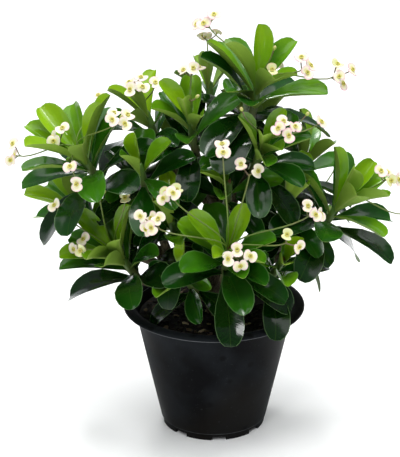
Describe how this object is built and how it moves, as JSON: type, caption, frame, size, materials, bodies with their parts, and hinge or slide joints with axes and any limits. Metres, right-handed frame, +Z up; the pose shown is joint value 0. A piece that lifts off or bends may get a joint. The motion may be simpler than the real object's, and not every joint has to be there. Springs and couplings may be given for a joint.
{
  "type": "potted euphorbia",
  "caption": "Bushy crown-of-thorns euphorbia in a black nursery pot, with thorny stems, whorls of glossy spoon-shaped leaves and small sprays of cream-white flowers above them.",
  "frame": {"origin": "on the surface that the pot stands on, under the middle of the plant and its pot", "axes": "+Z up along the pot and the plant's height, -Y towards the front of the plant as pictured, +X to the right of that view"},
  "size_m": [0.4622, 0.2741, 0.4928],
  "materials": {
    "black_plastic": "dull, dusty black moulded plastic",
    "potting_mix": "dark loose husk and bark chips",
    "bark": "grey-brown thorny bark",
    "leaf_green": "waxy glossy leaf",
    "flower_white": "soft matt bract"
  },
  "bodies": {
    "root": {"pot": "black_plastic", "soil": "potting_mix", "woody_stems": "bark", "leafy_stem_front": "leaf_green", "leafy_stem_lower_left": "leaf_green", "leafy_stem_left": "leaf_green", "leafy_stem_upper_left": "leaf_green", "leafy_stem_upper_middle": "leaf_green", "leafy_stem_top": "leaf_green", "leafy_stem_middle": "leaf_green", "leafy_stem_right": "leaf_green", "leafy_stem_upper_right": "leaf_green", "leafy_stem_left_middle": "leaf_green", "leafy_stem_lower_right": "leaf_green", "leafy_stem_inner_left": "leaf_green", "leafy_stem_inner_right": "leaf_green", "leafy_stem_back_top": "leaf_green", "leafy_stem_back_left": "leaf_green", "leafy_stem_back_low": "leaf_green", "leafy_stem_back_right": "leaf_green", "leafy_stem_far_left": "leaf_green", "leafy_stem_back_middle": "leaf_green", "leafy_stem_inner_middle": "leaf_green", "leafy_stem_low_front": "leaf_green", "flower_spray_01_front": "flower_white", "flower_spray_02_front": "flower_white", "flower_spray_03_front": "flower_white", "flower_spray_04_front": "flower_white", "flower_spray_05_front": "flower_white", "flower_spray_06_front": "flower_white", "flower_spray_07_front": "flower_white", "flower_spray_08_lower_left": "flower_white", "flower_spray_09_lower_left": "flower_white", "flower_spray_10_lower_left": "flower_white", "flower_spray_11_lower_left": "flower_white", "flower_spray_12_left": "flower_white", "flower_spray_13_left": "flower_white", "flower_spray_14_left": "flower_white", "flower_spray_15_left": "flower_white", "flower_spray_16_left": "flower_white", "flower_spray_17_upper_left": "flower_white", "flower_spray_18_upper_left": "flower_white", "flower_spray_19_upper_middle": "flower_white", "flower_spray_20_upper_middle": "flower_white", "flower_spray_21_top": "flower_white", "flower_spray_22_top": "flower_white", "flower_spray_23_top": "flower_white", "flower_spray_24_top": "flower_white", "flower_spray_25_top": "flower_white", "flower_spray_26_middle": "flower_white", "flower_spray_27_middle": "flower_white", "flower_spray_28_middle": "flower_white", "flower_spray_29_middle": "flower_white", "flower_spray_30_right": "flower_white", "flower_spray_31_right": "flower_white", "flower_spray_32_back_top": "flower_white", "flower_spray_33_back_left": "flower_white", "flower_spray_34_back_low": "flower_white", "flower_spray_35_back_right": "flower_white", "flower_spray_36_back_middle": "flower_white"}
  },
  "joints": []
}
